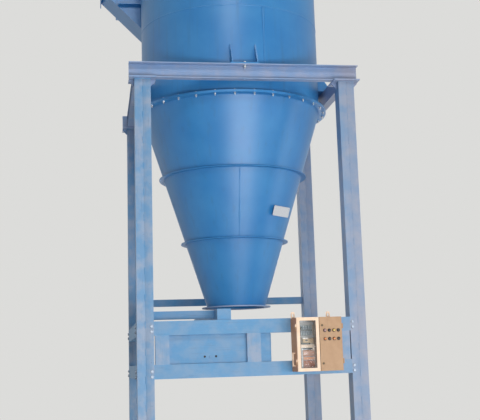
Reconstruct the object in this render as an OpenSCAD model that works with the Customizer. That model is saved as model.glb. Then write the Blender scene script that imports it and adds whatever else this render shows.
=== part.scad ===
// Cyclone separator: a shell with a three-course cone, hung by lugs in a four-column channel frame,
// with a deck girder and a wall-type control panel on its front. The vessel axis is vertical.

/* [Vessel] */
// Outside diameter of the cylindrical shell
shell_d = 1840; // [1700:10:1960]
// Plate thickness of the shell, cone, roof and inlet
plate_t = 6; // [4:1:10]
// Height of the lower shell course
shell_lower_h = 880; // [800:10:1100]
// Height of the upper shell course, which takes the inlet
shell_upper_h = 1620; // [1500:10:2000]
// Height of the upper cone course
cone_upper_h = 677; // [500:1:800]
// Height of the middle cone course
cone_middle_h = 665; // [500:1:800]
// Height of the lower cone course
cone_lower_h = 640; // [500:1:800]
// Outside diameter of the cone at its mouth
mouth_d = 584; // [450:2:640]
// Height of the mouth flange's underside above the floor
mouth_z = 1860; // [1700:10:2200]

/* [Flanges and rings] */
// Width of the bolted flanges between shell and cone
joint_flange_w = 70; // [55:1:80]
// Thickness of each of the two joint flanges
joint_flange_t = 12; // [8:1:16]
// Number of bolts round the joint
joint_bolts = 32; // [20:4:36]
// Radius of the joint's bolt holes
joint_hole_r = 7; // [5:0.5:9]
// Width of the stiffener rings round the cone
ring_w = 50; // [30:1:70]
// Thickness of the stiffener rings
ring_t = 8; // [6:1:14]
// Width of the mouth flange
mouth_flange_w = 53; // [40:1:60]
// Thickness of the mouth and outlet flanges
mouth_flange_t = 10; // [8:1:16]
// Number of bolt holes in the mouth flange
mouth_bolts = 12; // [8:4:20]
// Radius of the bolt holes in the mouth, outlet and inlet flanges
duct_hole_r = 7; // [5:0.5:9]

/* [Gas inlet] */
// Clear width of the inlet duct
inlet_w = 400; // [300:10:440]
// Clear height of the inlet at its flange
inlet_h = 680; // [600:10:900]
// Height of the inlet's throat floor above the shell joint
inlet_throat_rise = 1007; // [920:1:1100]
// Distance from the inlet's top to the roof
inlet_top_gap = 252; // [100:1:400]
// Distance from the shell to the inlet flange
inlet_reach = 410; // [300:10:600]
// Width of the inlet flange
inlet_flange_w = 50; // [40:1:70]
// Width of the stiffener bars along the inlet's sides
inlet_bar_w = 60; // [40:5:80]
// Height of the lower stiffener bar above the throat's floor
inlet_bar_rise = 380; // [300:5:450]

/* [Gas outlet] */
// Outside diameter of the outlet pipe
outlet_d = 920; // [700:10:960]
// How far the outlet pipe reaches below the roof
outlet_drop = 1600; // [1300:10:1750]
// How far the outlet pipe stands above the roof
outlet_rise = 400; // [300:10:700]
// Width of the outlet flange
outlet_flange_w = 60; // [50:1:80]
// Number of bolt holes in the outlet flange
outlet_bolts = 16; // [8:4:24]
// Number of ribs on the roof
roof_ribs_n = 8; // [6:2:10]
// Height of the roof ribs
roof_rib_h = 70; // [50:5:120]
// Thickness of the roof ribs and lifting lugs
roof_rib_t = 10; // [8:1:14]

/* [Frame] */
// Clearance between the shell and the beams round it
beam_clear = 50; // [35:1:80]
// Side of a square column made of two channels
column_w = 150; // [125:5:200]
// Web thickness of the column and beam channels
web_t = 6; // [5:0.5:9]
// Flange thickness of the column and beam channels
flange_t = 9; // [7:0.5:12]
// Depth of the top beams
beam_h = 150; // [125:5:180]
// Width of the top beams' flanges
beam_b = 75; // [65:5:90]
// How far the top beams stand above the shell joint
beam_rise = 248; // [236:1:300]
// Side of the cap plates on the columns
cap_w = 250; // [210:5:280]
// Thickness of the cap plates
cap_t = 12; // [8:1:20]
// Side of the base plates
base_w = 300; // [260:5:360]
// Thickness of the base plates
base_t = 20; // [12:1:30]
// Distance between the anchor holes of a base plate
anchor_pitch = 220; // [200:5:240]
// Radius of the anchor holes
anchor_r = 11; // [8:0.5:14]
// Height of the gussets on the base plates
base_gusset_h = 120; // [80:5:200]
// Height of the gussets under the cap plates
cap_gusset_h = 60; // [40:5:100]

/* [Support lugs] */
// Distance between the two gussets of a support lug
lug_pitch = 240; // [180:5:300]
// Height of the gussets above the beam
lug_h = 230; // [150:5:300]
// Thickness of the lug's gussets
lug_t = 10; // [8:1:14]
// Thickness of the lug's pad
lug_pad_t = 12; // [8:1:20]
// Radius of the lug's bolt hole
lug_hole_r = 11; // [8:0.5:13]

/* [Deck girder] */
// Depth of the deck rails
rail_h = 125; // [100:5:150]
// Width of the deck rails' flanges
rail_b = 65; // [50:5:75]
// Depth of the whole front girder
girder_h = 505; // [450:5:600]
// Recess of the girder's web plates behind the front
web_plate_recess = 45; // [20:1:60]
// Thickness of the girder's web plates
web_plate_t = 5; // [4:0.5:8]
// Gap between the columns and the girder's end channels
end_gap = 10; // [2:1:20]
// Place of the girder post, from the vessel axis to its left side
post_x = -64; // [-150:1:0]
// Width of the narrow web plate to the right of the post
side_plate_w = 96; // [60:1:140]
// Distance between the two holes in the wide web plate
plate_hole_pitch = 102; // [60:1:140]
// Radius of the two holes in the wide web plate
plate_hole_r = 10; // [5:0.5:14]
// Height of the two holes above the bottom rail
plate_hole_rise = 60; // [30:1:120]
// Distance from the end channel to the middle of the two holes
plate_hole_x = 368; // [250:1:450]
// Depth of the tie between the back columns
tie_h = 75; // [75:5:125]
// Height of the back tie above the mouth flange
tie_rise = 90; // [40:5:200]

/* [Bearers] */
// Width of the bearer that runs from front to back
bearer_w = 125; // [100:5:200]
// Depth of the bearer
bearer_h = 100; // [85:5:130]
// Plate thickness of the bearer
bearer_t = 8; // [6:1:12]
// Clear height between the bearer and the mouth flange
bearer_gap = 60; // [30:5:150]
// Place of the bearer, from the vessel axis to its left side
bearer_x = -325; // [-450:5:-200]
// Distance from the front of the deck to the bearer's end
bearer_inset = 20; // [5:1:60]
// Depth of the cross bearer
cross_h = 75; // [60:5:80]
// Width of the cross bearer
cross_b = 40; // [30:5:60]
// Distance from the front of the deck to the cross bearer
cross_inset = 255; // [180:5:500]

/* [Control panel] */
// Width of the control panel
panel_w = 410; // [380:5:440]
// Height of the control panel
panel_h = 470; // [440:5:500]
// Depth of the control panel's case
panel_d = 225; // [180:5:300]
// Sheet thickness of the control panel
sheet_t = 2; // [1.5:0.5:3]
// Distance from the right column to the control panel
panel_inset = 145; // [120:5:200]
// Height of the control panel above the girder's underside
panel_rise = 28; // [10:1:60]
// Width of the case's front rim
rim_w = 10; // [8:1:14]
// Depth of the doors
door_t = 20; // [16:1:30]
// Gap between the doors and the case, and between the two doors
door_gap = 5; // [5:0.5:8]
// Width of the glazed door's frame
door_frame_w = 29; // [24:1:40]
// Thickness of the door glass
glass_t = 4; // [3:0.5:6]
// Radius of the hinge pins
pin_r = 3; // [2:0.5:4]
// Radius of the hinge barrels
barrel_r = 6; // [5:0.5:7]
// Height of a hinge barrel
barrel_h = 22; // [16:1:30]
// Distance from the door's top or bottom to a hinge
hinge_inset = 60; // [40:5:100]
// Distance between push buttons in a row
button_pitch = 41; // [36:1:46]
// Distance between the two rows of push buttons
button_row_pitch = 74; // [60:1:100]
// Distance from the door's top to the upper row
button_drop = 118; // [100:1:150]
// Distance from the door's left edge to the first button
button_inset = 46; // [30:1:50]
// Radius of a push button's bezel
bezel_r = 15; // [12:0.5:17]
// How far the push buttons stand out of the door
button_proud = 20; // [10:1:30]

/* [Hidden] */
$fn = 96;

// Small running and seating clearances
seat_gap = 0.3;
pin_gap = 0.1;
edge_gap = 1;
eps = 1;
// Share of a flange's width at which its bolts stand, and a lug's root inside the shell
gauge = 0.6;
lug_root = 0.8;
paint = "#3f86c4";
frame_paint = "#7fa6d6";
cream = "#d3b48c";

// Vessel heights and radii
shell_r = shell_d / 2;
mouth_r = mouth_d / 2;
cone_z = mouth_z + mouth_flange_t;
ring_lower_z = cone_z + cone_lower_h;
ring_upper_z = ring_lower_z + cone_middle_h;
joint_z = ring_upper_z + cone_upper_h;
shell_mid_z = joint_z + shell_lower_h;
roof_z = shell_mid_z + shell_upper_h;
cone_slope = (shell_r - mouth_r) / (joint_z - cone_z);
cone_wall = plate_t * sqrt(1 + cone_slope * cone_slope);
function cone_r(z) = mouth_r + cone_slope * (z - cone_z);
outlet_r = outlet_d / 2;
outlet_top = roof_z + outlet_rise;

// Frame places, all about the vessel axis
frame_half = shell_r + beam_clear;
face = frame_half + column_w / 2;
beam_top = joint_z + beam_rise;
beam_z = beam_top - beam_h;
column_top = beam_z - cap_t;
beam_half = frame_half + cap_w / 2;
bay = 2 * frame_half - column_w;

// Deck places
deck_top = mouth_z - bearer_gap - bearer_h;
girder_z = deck_top - girder_h;
top_rail_z = deck_top - rail_h;
bottom_rail_top = girder_z + rail_h;
bay_h = top_rail_z - bottom_rail_top;

// Control panel places
panel_x = bay / 2 - panel_inset - panel_w;
panel_z = girder_z + panel_rise;
case_front = face + panel_d;
door_back = case_front + door_gap;
door_front = door_back + door_t;
door_w = (panel_w - door_gap) / 2 - edge_gap;
hinge_y = door_back + door_t / 2;
hinge_out = barrel_r + edge_gap;
left_x = panel_x + edge_gap;
right_x = left_x + door_w + door_gap;
glass_lap = 8;
window_w = door_w - 2 * door_frame_w;
window_h = panel_h - 2 * door_frame_w;

// Overall reach on each side, for the origin under the middle of the whole
reach_left = shell_r + inlet_reach + mouth_flange_t;
reach_right = frame_half + max(cap_w, base_w) / 2;
reach_front = door_front + button_proud;
reach_back = reach_right;
axis_x = (reach_left - reach_right) / 2;
axis_y = (reach_front - reach_back) / 2;

// Channel outline with its web's back on x = 0 and its toes at x = b
module channel_2d(h, b, tw, tf)
  polygon([[0, 0], [b, 0], [b, tf], [tw, tf], [tw, h - tf], [b, h - tf], [b, h], [0, h]]);

// Channel along X, web back on y = 0, toes towards -Y, underside on z = 0
module channel_x(len, h, b, tw, tf)
  rotate([90, 0, 90]) linear_extrude(len, center = true) mirror([1, 0]) channel_2d(h, b, tw, tf);

// Upright channel, web back on y = 0, toes towards +Y, from x = 0 to x = h
module channel_z(len, h, b, tw, tf)
  linear_extrude(len) translate([h, 0]) rotate(90) channel_2d(h, b, tw, tf);

// Ring between two radii
module ring(r_out, r_in, t)
  difference() {
    cylinder(h = t, r = r_out);
    translate([0, 0, -eps]) cylinder(h = t + 2 * eps, r = r_in);
  }

// Holes on a circle
module holes_on_circle(r, n, hole_r, t, start = 0)
  for (i = [0 : n - 1])
    rotate(start + 360 * i / n) translate([r, 0, -eps]) cylinder(h = t + 2 * eps, r = hole_r, $fn = 24);

// Outside of the cone between two heights, r_extra wider
module cone_body(z0, z1, r_extra = 0)
  translate([0, 0, z0]) cylinder(h = z1 - z0, r1 = cone_r(z0) + r_extra, r2 = cone_r(z1) + r_extra);

module cone_course(z0, z1)
  color(paint) difference() {
    cone_body(z0, z1);
    cone_body(z0 - eps, z1 + eps, -cone_wall);
  }

module cone_ring(z)
  color(paint) difference() {
    translate([0, 0, z]) cylinder(h = ring_t, r = cone_r(z) + ring_w);
    cone_body(z - eps, z + ring_t + eps);
  }

module cone_lower() cone_course(cone_z, ring_lower_z);
module cone_middle() cone_course(ring_lower_z, ring_upper_z);
module cone_upper() cone_course(ring_upper_z, joint_z);
module ring_lower() cone_ring(ring_lower_z);
module ring_upper() cone_ring(ring_upper_z);

module mouth_flange()
  color(paint) translate([0, 0, mouth_z]) difference() {
    ring(mouth_r + mouth_flange_w, mouth_r - cone_wall, mouth_flange_t);
    holes_on_circle(mouth_r + mouth_flange_w * gauge, mouth_bolts, duct_hole_r, mouth_flange_t, 15);
  }

module shell_flange()
  color(paint) translate([0, 0, joint_z]) difference() {
    ring(shell_r + joint_flange_w, shell_r, joint_flange_t);
    holes_on_circle(shell_r + joint_flange_w * gauge, joint_bolts, joint_hole_r, joint_flange_t,
                    180 / joint_bolts);
  }

module cone_flange()
  color(paint) difference() {
    translate([0, 0, joint_z - joint_flange_t]) difference() {
      cylinder(h = joint_flange_t, r = shell_r + joint_flange_w);
      holes_on_circle(shell_r + joint_flange_w * gauge, joint_bolts, joint_hole_r, joint_flange_t,
                    180 / joint_bolts);
    }
    cone_body(joint_z - joint_flange_t - eps, joint_z + eps);
  }

module shell_lower_course()
  color(paint) translate([0, 0, joint_z]) ring(shell_r, shell_r - plate_t, shell_lower_h);

// Inlet heights: throat at the shell, sloped floor up to the flange
throat_z = joint_z + inlet_throat_rise;
inlet_top = roof_z - inlet_top_gap;
inlet_floor = inlet_top - inlet_h;
inlet_x = shell_r + inlet_reach;
inlet_far = shell_r - plate_t - 2;
inlet_near = inlet_far - inlet_w;
knee_x = sqrt(shell_r * shell_r - pow(inlet_near - plate_t, 2));
floor_slope = atan((inlet_floor - throat_z) / (inlet_x - knee_x));

// Side outline of the inlet; grow thickens its floor and top by the plate
module inlet_side_2d(grow, x_end)
  polygon([
    [-inlet_x, inlet_top + grow],
    [-inlet_x, inlet_floor - grow / cos(floor_slope)],
    [-knee_x - grow * tan(floor_slope / 2), throat_z - grow],
    [-x_end, throat_z - grow],
    [-x_end, inlet_top + grow]
  ]);

module inlet_block(grow, x_end)
  translate([0, inlet_far + grow, 0]) rotate([90, 0, 0])
    linear_extrude(inlet_w + 2 * grow) inlet_side_2d(grow, x_end);

// Flat bars along both sides of the inlet, ended by its sloped floor
module inlet_bars()
  for (z = [throat_z + inlet_bar_rise, inlet_top - inlet_bar_rise / 2])
    intersection() {
      translate([0, inlet_far + plate_t + inlet_bar_w, 0]) rotate([90, 0, 0])
        linear_extrude(inlet_w + 2 * (plate_t + inlet_bar_w)) inlet_side_2d(plate_t, 0);
      translate([-inlet_x, 0, z]) cube([inlet_x, 2 * inlet_far, ring_t]);
    }

module inlet_duct()
  color(paint) difference() {
    union() {
      inlet_block(plate_t, 0);
      inlet_bars();
    }
    translate([-eps, 0, 0]) inlet_block(0, -eps);
    translate([0, 0, joint_z]) cylinder(h = roof_z - joint_z, r = shell_r);
  }

module inlet_flange() {
  mid_z = (inlet_floor + inlet_top) / 2;
  mid_y = (inlet_far + inlet_near) / 2;
  out_y = inlet_w + 2 * inlet_flange_w;
  out_z = inlet_h + 2 * inlet_flange_w;
  hole_y = inlet_w + inlet_flange_w;
  hole_z = inlet_h + inlet_flange_w;
  color(paint) translate([-inlet_x - mouth_flange_t, mid_y, mid_z]) difference() {
    translate([0, -out_y / 2, -out_z / 2]) cube([mouth_flange_t, out_y, out_z]);
    translate([-eps, -inlet_w / 2, -inlet_h / 2]) cube([mouth_flange_t + 2 * eps, inlet_w, inlet_h]);
    for (y = [-0.5, 0.5], z = [-0.5, -1 / 6, 1 / 6, 0.5])
      translate([-eps, y * hole_y, z * hole_z]) rotate([0, 90, 0])
        cylinder(h = mouth_flange_t + 2 * eps, r = duct_hole_r, $fn = 24);
    for (z = [-0.5, 0.5])
      translate([-eps, 0, z * hole_z]) rotate([0, 90, 0])
        cylinder(h = mouth_flange_t + 2 * eps, r = duct_hole_r, $fn = 24);
  }
}

module shell_upper_course()
  color(paint) difference() {
    translate([0, 0, shell_mid_z]) ring(shell_r, shell_r - plate_t, shell_upper_h);
    inlet_block(0, 0);
  }

module roof_plate()
  color(paint) translate([0, 0, roof_z]) ring(shell_r, outlet_r, plate_t);

module outlet_pipe()
  color(paint) translate([0, 0, roof_z - outlet_drop])
    ring(outlet_r, outlet_r - plate_t, outlet_drop + outlet_rise);

module outlet_flange()
  color(paint) translate([0, 0, outlet_top - mouth_flange_t]) difference() {
    ring(outlet_r + outlet_flange_w, outlet_r, mouth_flange_t);
    holes_on_circle(outlet_r + outlet_flange_w * gauge, outlet_bolts, duct_hole_r, mouth_flange_t);
  }

// Radial flat bars on the roof, sloped down to the rim
module roof_ribs() {
  rib_len = shell_r - outlet_r - 40;
  color(paint) difference() {
    for (i = [0 : roof_ribs_n - 1])
      rotate(360 * (i + 0.5) / roof_ribs_n)
        translate([outlet_r - 10, roof_rib_t / 2, roof_z + plate_t]) rotate([90, 0, 0])
          linear_extrude(roof_rib_t)
            polygon([[0, 0], [rib_len, 0], [rib_len, roof_rib_h * 0.4], [0, roof_rib_h]]);
    cylinder(h = outlet_top, r = outlet_r);
  }
}

// Lifting lugs near the roof's rim, each with an eye for a shackle
eye_r = 18;
eye_rise = 80;
eye_lug_r = 40;
eye_foot = 120;
eye_inset = 30;

module lifting_lugs()
  color(paint) for (a = [0 : 90 : 270])
    rotate(a) translate([shell_r - eye_inset - eye_foot, roof_rib_t / 2, roof_z + plate_t])
      rotate([90, 0, 0]) linear_extrude(roof_rib_t) difference() {
        hull() {
          square([eye_foot, eye_lug_r / 2]);
          translate([eye_foot / 2, eye_rise]) circle(r = eye_lug_r, $fn = 48);
        }
        translate([eye_foot / 2, eye_rise]) circle(r = eye_r, $fn = 32);
      }

// Two channels toe to toe, with the weld seam sunk in the front and back faces
module column(sx, sy) {
  seam = 4;
  w = column_w / 2;
  color(frame_paint) translate([sx * frame_half, sy * frame_half, base_t])
    linear_extrude(column_top - base_t) difference() {
      polygon([[-w, -w], [-seam, -w], [0, -w + seam / 2], [seam, -w], [w, -w],
               [w, w], [seam, w], [0, w - seam / 2], [-seam, w], [-w, w]]);
      square([column_w - 2 * web_t, column_w - 2 * flange_t], center = true);
    }
}

module column_front_left() column(-1, -1);
module column_front_right() column(1, -1);
module column_back_left() column(-1, 1);
module column_back_right() column(1, 1);

module at_columns()
  for (sx = [-1, 1], sy = [-1, 1])
    translate([sx * frame_half, sy * frame_half, 0]) children();

// Triangular gusset against a column's side face
module side_gusset(len, h, t)
  for (s = [0, 1])
    mirror([s, 0, 0]) translate([column_w / 2, t / 2, 0]) rotate([90, 0, 0])
      linear_extrude(t) polygon([[0, 0], [len, 0], [len, h * 0.12], [0, h]]);

module base_plates()
  color(frame_paint) at_columns() union() {
    difference() {
      translate([-base_w / 2, -base_w / 2, 0]) cube([base_w, base_w, base_t]);
      for (x = [-0.5, 0.5], y = [-0.5, 0.5])
        translate([x * anchor_pitch, y * anchor_pitch, -eps])
          cylinder(h = base_t + 2 * eps, r = anchor_r, $fn = 32);
    }
    translate([0, 0, base_t]) side_gusset((base_w - column_w) / 2, base_gusset_h, flange_t);
  }

module column_caps()
  color(frame_paint) at_columns() union() {
    translate([-cap_w / 2, -cap_w / 2, column_top]) cube([cap_w, cap_w, cap_t]);
    translate([0, 0, column_top]) mirror([0, 0, 1])
      side_gusset((cap_w - column_w) / 2, cap_gusset_h, flange_t);
  }

// Top beam on the front, with the lug's bolt hole in its upper flange
module top_beam(len)
  color(frame_paint) difference() {
    translate([0, -frame_half, beam_z]) channel_x(len, beam_h, beam_b, web_t, flange_t);
    translate([0, -lug_bolt_y, beam_z]) cylinder(h = beam_h + eps, r = lug_hole_r, $fn = 32);
  }

lug_bolt_y = frame_half + beam_b * 0.55;
module top_beam_front() top_beam(2 * beam_half);
module top_beam_back() rotate(180) top_beam(2 * beam_half);
module top_beams_side() for (a = [90, 270]) rotate(a) top_beam(2 * frame_half);

// Support lug: a pad bolted to the beam and two gussets welded to the shell
module support_lug() {
  toe = frame_half + beam_b;
  difference() {
    union() {
      translate([-lug_pitch / 2 - 20, -toe, beam_top])
        cube([lug_pitch + 40, toe - shell_r * lug_root, lug_pad_t]);
      for (s = [-1, 1])
        translate([s * lug_pitch / 2 - lug_t / 2, 0, beam_top + lug_pad_t])
          rotate([90, 0, 90]) linear_extrude(lug_t)
            polygon([[-toe + 5, 0], [-shell_r * lug_root, 0], [-shell_r * lug_root, lug_h - lug_pad_t],
                     [-shell_r + 5, lug_h - lug_pad_t], [-toe + 5, 20]]);
    }
    translate([0, 0, joint_z]) cylinder(h = roof_z - joint_z, r = shell_r);
    translate([0, -lug_bolt_y, beam_top - eps]) cylinder(h = lug_pad_t + 2 * eps, r = lug_hole_r, $fn = 32);
  }
}

module support_lugs() color(paint) for (a = [0 : 90 : 270]) rotate(a) support_lug();

// Deck rail on the front, web flush with the columns, toes inwards
module rail(z)
  translate([0, -face, z]) mirror([0, 1, 0]) channel_x(bay, rail_h, rail_b, web_t, flange_t);

module front_top_rail() color(frame_paint) rail(top_rail_z);
module front_bottom_rail() color(frame_paint) rail(girder_z);
module deck_rails_left() color(frame_paint) rotate(270) { rail(top_rail_z); rail(girder_z); }
module deck_rails_right() color(frame_paint) rotate(90) { rail(top_rail_z); rail(girder_z); }
module back_lower_rail() color(frame_paint) rotate(180) rail(girder_z);

module girder_post(x)
  translate([x, -face, bottom_rail_top]) channel_z(bay_h, rail_h, rail_b, web_t, flange_t);

module front_end_channels()
  color(frame_paint) for (x = [-bay / 2 + end_gap, bay / 2 - end_gap - rail_h]) girder_post(x);

module front_post() color(frame_paint) girder_post(post_x);

module front_web_plates() {
  wide_x = -bay / 2 + end_gap + rail_h;
  color(frame_paint) translate([0, -face + web_plate_recess, bottom_rail_top]) difference() {
    union() {
      translate([wide_x, 0, 0]) cube([post_x - wide_x, web_plate_t, bay_h]);
      translate([post_x + rail_h, 0, 0]) cube([side_plate_w, web_plate_t, bay_h]);
    }
    for (s = [-0.5, 0.5])
      translate([wide_x + plate_hole_x + s * plate_hole_pitch, -eps, plate_hole_rise])
        rotate([-90, 0, 0]) cylinder(h = web_plate_t + 2 * eps, r = plate_hole_r, $fn = 32);
  }
}

// Tie between the back columns, with its web to the front
module back_tie()
  color(frame_paint) translate([0, face - rail_b, mouth_z + tie_rise]) mirror([0, 1, 0])
    channel_x(bay, tie_h, rail_b, web_t, flange_t);

// Bearer: a folded channel, toes down, with a closed front end and a stool on the back rail
module bearer() {
  len = 2 * face - bearer_inset;
  stool_h = deck_top + bearer_h - bearer_t - bottom_rail_top;
  color(frame_paint) translate([bearer_x, -face + bearer_inset, 0]) {
    translate([0, 0, deck_top]) difference() {
      cube([bearer_w, len, bearer_h]);
      translate([bearer_t, bearer_t, -eps])
        cube([bearer_w - 2 * bearer_t, len, bearer_h - bearer_t + eps]);
    }
    translate([(bearer_w - rail_b) / 2, len - rail_b, bottom_rail_top]) difference() {
      cube([rail_b, rail_b, stool_h]);
      translate([web_t, web_t, -eps]) cube([rail_b - 2 * web_t, rail_b - 2 * web_t, stool_h + 2 * eps]);
    }
  }
}

// Cross bearer from the left deck rails to the bearer, web to the front, on a packer
module cross_bearer() {
  len = bearer_x + face;
  packer = bearer_h - cross_h;
  color(frame_paint) {
    translate([bearer_x - len / 2, -face + cross_inset, deck_top + packer]) mirror([0, 1, 0])
      channel_x(len, cross_h, cross_b, web_t, flange_t);
    translate([-face, -face + cross_inset, deck_top]) cube([rail_b, cross_b, packer]);
  }
}

// Case: a folded box with a front rim and a divider behind the meeting of the doors
module panel_case() {
  inner_w = (panel_w - 3 * sheet_t) / 2;
  inner_h = panel_h - 2 * sheet_t;
  color(cream) translate([panel_x, -case_front, panel_z]) difference() {
    cube([panel_w, panel_d, panel_h]);
    for (i = [0, 1]) translate([sheet_t + i * (inner_w + sheet_t), 0, sheet_t]) {
      translate([0, sheet_t, 0]) cube([inner_w, panel_d - 2 * sheet_t, inner_h]);
      translate([rim_w, -eps, rim_w]) cube([inner_w - 2 * rim_w, sheet_t + 2 * eps, inner_h - 2 * rim_w]);
    }
  }
}

// Switchgear: the plate stands off the case's back on four studs
plate_off = 18;
plate_sheet = 3;
breakers = 6;
terminals = 10;

module panel_mounting_plate() {
  w = (panel_w - 3 * sheet_t) / 2 - 20;
  h = panel_h - 2 * sheet_t - 30;
  color("silver") translate([panel_x + sheet_t + 10, -face - sheet_t, panel_z + sheet_t + 15]) {
    translate([0, -plate_off - plate_sheet, 0]) cube([w, plate_sheet, h]);
    for (x = [12, w - 12], z = [12, h - 12])
      translate([x, 0, z]) rotate([90, 0, 0]) cylinder(h = plate_off, r = 5, $fn = 24);
  }
}

// Modular devices: pitch, and height of their rows above the case's underside
breaker_pitch = 20;
breaker_z = 300;
contactor_z = 200;
terminal_pitch = 13;
terminal_zs = [110, 45];

// Switchgear on the mounting plate: breakers above, a contactor, and terminal rows below
module panel_switchgear() {
  base_y = -face - sheet_t - plate_off - plate_sheet;
  x0 = panel_x + door_frame_w + 10;
  module block(x, z, size)
    translate([x0 + x, base_y - size[1], panel_z + z]) cube(size);
  color("#6c7f7c") for (i = [0 : breakers - 1]) {
    block(i * breaker_pitch, breaker_z, [18, 48, 86]);
    block(i * breaker_pitch, breaker_z + 20, [18, 62, 46]);
    block(i * breaker_pitch + 5, breaker_z + 37, [8, 72, 14]);
  }
  color("#c9b58e") block(14, contactor_z, [80, 80, 70]);
  color("#c9b58e") block(100, contactor_z + 15, [30, 60, 50]);
  color("#c98f7a") for (i = [0 : terminals - 1], z = terminal_zs)
    block(i * terminal_pitch, z, [terminal_pitch - 2, 45, 45]);
}

// Ears on the case, from its back: two slotted plates that stand on its top
ear_w = 36;
ear_h = 60;
ear_t = 4;
ear_back = 15;
ear_xs = [18, 344];
slot_r = 6;
slot_h = 16;

module panel_ears()
  color(cream) for (x = ear_xs)
    translate([panel_x + x, -face - ear_back, panel_z + panel_h]) rotate([90, 0, 0])
      linear_extrude(ear_t) difference() {
        hull() {
          translate([-ear_w / 2, 0]) square([ear_w, ear_h / 2]);
          for (s = [-1, 1])
            translate([s * (ear_w / 2 - slot_r * 2), ear_h - slot_r * 2]) circle(r = slot_r * 2, $fn = 32);
        }
        hull() for (s = [0, slot_h]) translate([0, ear_h / 3 + s]) circle(r = slot_r, $fn = 32);
      }

// Side handle: a flat grip on two posts
grip_h = 122;
grip_w = 12;
grip_t = 6;
grip_off = 22;
grip_y = 110;
grip_z = 45;

module panel_handle()
  color(cream) translate([panel_x, -face - grip_y, panel_z + grip_z]) {
    for (z = [grip_t, grip_h - grip_t])
      translate([-grip_off, 0, z]) rotate([0, 90, 0]) cylinder(h = grip_off, r = 5, $fn = 24);
    translate([-grip_off - grip_t, -grip_w / 2, 0]) cube([grip_t, grip_w, grip_h]);
  }

// Cable gland: locknut, body and dome nut
gland_y = 95;
gland_z = 40;
gland_r = 17;
gland_steps = [10, 8, 14];

module panel_gland()
  color("dimgray") translate([panel_x + panel_w, -face - gland_y, panel_z + gland_z]) rotate([0, 90, 0]) {
    cylinder(h = gland_steps[0], r = gland_r + 1, $fn = 6);
    translate([0, 0, gland_steps[0]]) cylinder(h = gland_steps[1], r = gland_r - 3, $fn = 32);
    translate([0, 0, gland_steps[0] + gland_steps[1]]) cylinder(h = gland_steps[2], r = gland_r, $fn = 6);
  }

module panel_fittings() {
  panel_ears();
  panel_handle();
  panel_gland();
}

// Hinge axes: left door and right door, just outside the case
function hinge_x(side) = side < 0 ? panel_x - hinge_out : panel_x + panel_w + hinge_out;
leaf_t = 3;
leaf_lap = 25;
hinge_zs = [panel_z + hinge_inset, panel_z + panel_h - hinge_inset - 2 * barrel_h];

// Fixed leaves: lower barrel with the pin, and a leaf on the side of the case
module hinge_leaves()
  color("silver") for (side = [-1, 1], z = hinge_zs)
    translate([hinge_x(side), -hinge_y, z]) {
      cylinder(h = barrel_h, r = barrel_r, $fn = 32);
      cylinder(h = 2 * barrel_h, r = pin_r, $fn = 32);
      translate([side < 0 ? hinge_out - leaf_t : -hinge_out, 0, 0])
        cube([leaf_t, hinge_y - case_front + leaf_lap, barrel_h]);
    }

// Moving barrels above the fixed ones, each with a leaf on its door's edge
module door_barrels(side) {
  leaf = hinge_out + edge_gap + sheet_t / 2;
  for (z = hinge_zs)
    translate([hinge_x(side), -hinge_y, z + barrel_h + seat_gap]) difference() {
      union() {
        cylinder(h = barrel_h - seat_gap, r = barrel_r, $fn = 32);
        translate([side < 0 ? 0 : -leaf, -2, 0]) cube([leaf, 4, barrel_h - seat_gap]);
      }
      translate([0, 0, -eps]) cylinder(h = barrel_h + 2 * eps, r = pin_r + pin_gap, $fn = 32);
    }
}

// Door pan: a folded sheet, open behind
module door_pan(x)
  translate([x, -door_front, panel_z]) difference() {
    cube([door_w, door_t, panel_h]);
    translate([sheet_t, sheet_t, sheet_t])
      cube([door_w - 2 * sheet_t, door_t, panel_h - 2 * sheet_t]);
  }

module door_left_frame()
  color("#e8cba4") union() {
    difference() {
      door_pan(left_x);
      translate([left_x + door_frame_w, -door_front - eps, panel_z + door_frame_w])
        cube([window_w, door_t, window_h]);
    }
    door_barrels(-1);
  }

module door_left_glass()
  color("lightcyan", 0.4)
    translate([left_x + door_frame_w - glass_lap, -door_front + sheet_t, panel_z + door_frame_w - glass_lap])
      cube([window_w + 2 * glass_lap, glass_t, window_h + 2 * glass_lap]);

module door_right()
  color(cream) union() {
    difference() {
      door_pan(right_x);
      for (i = [0 : 3], j = [0, 1]) at_button(i, j)
        translate([0, 0, -eps]) cylinder(h = sheet_t + 2 * eps, r = bezel_r - 4 + seat_gap, $fn = 32);
    }
    door_barrels(1);
  }

// Button places: local +Z points into the door
module at_button(i, j)
  translate([right_x + button_inset + i * button_pitch, -door_front,
             panel_z + panel_h - button_drop - j * button_row_pitch])
    rotate([-90, 0, 0]) children();

module push_buttons()
  color("dimgray") for (i = [0 : 3], j = [0, 1]) at_button(i, j) {
    mirror([0, 0, 1]) cylinder(h = button_proud * 0.5, r = bezel_r, $fn = 32);
    mirror([0, 0, 1]) cylinder(h = button_proud, r = bezel_r - 4, $fn = 32);
    cylinder(h = 12, r = bezel_r - 4, $fn = 32);
    translate([-12, -18, 12]) cube([24, 36, 38]);
  }

module place() translate([axis_x, axis_y, 0]) children();

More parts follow.
